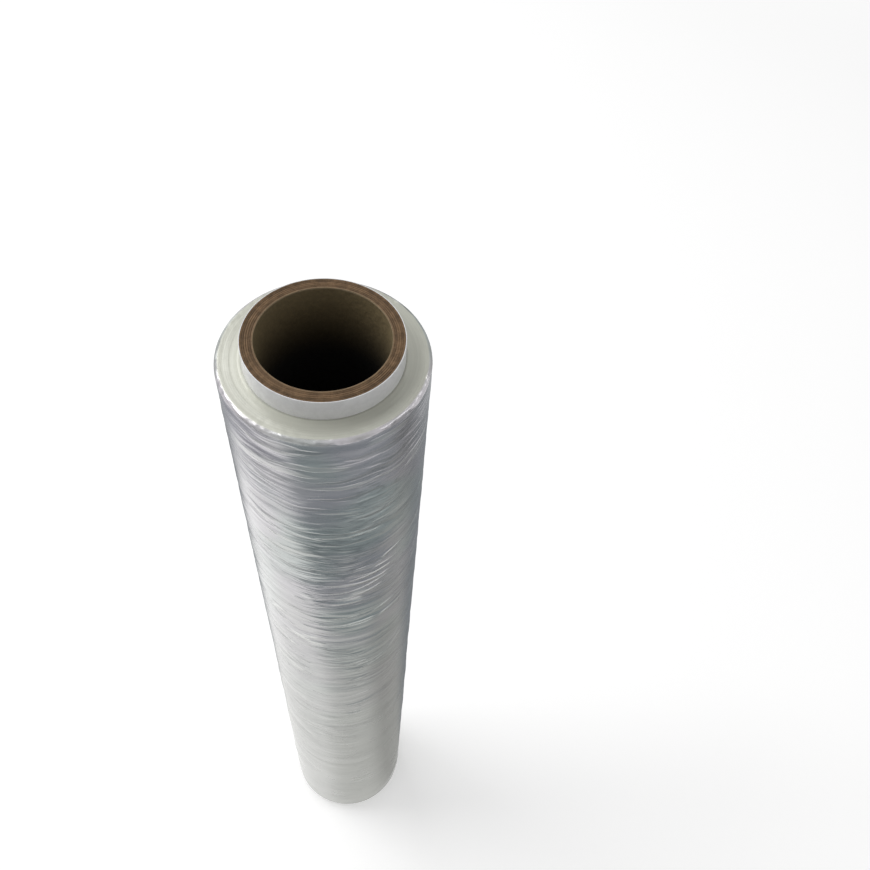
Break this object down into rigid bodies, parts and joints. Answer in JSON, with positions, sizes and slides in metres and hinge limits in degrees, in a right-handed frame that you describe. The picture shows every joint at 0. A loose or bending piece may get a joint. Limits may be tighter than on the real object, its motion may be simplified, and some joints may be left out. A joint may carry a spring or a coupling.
{
  "type": "stretch wrap roll",
  "caption": "Hand roll of clear stretch film wound on a paperboard core that stands out at both ends, with a through bore for a spindle or hand plugs.",
  "frame": {"origin": "centre of the core's lower cut end, on the surface that the roll stands on", "axes": "+Z along the core's axis, upwards; +X to the right and +Y away from a person in front of the roll, whose free film end is at the back"},
  "size_m": [0.0819, 0.082, 0.519],
  "materials": {
    "core_board": "matt brown kraft board, cut ends with open ply lines",
    "cover_paper": "smooth white paper, slightly satin",
    "stretch_film": "glossy milky clear film in many turns, with fine rings round the roll"
  },
  "bodies": {
    "root": {"core_tube": "core_board", "core_cover_paper": "cover_paper", "film_roll": "stretch_film"}
  },
  "joints": []
}
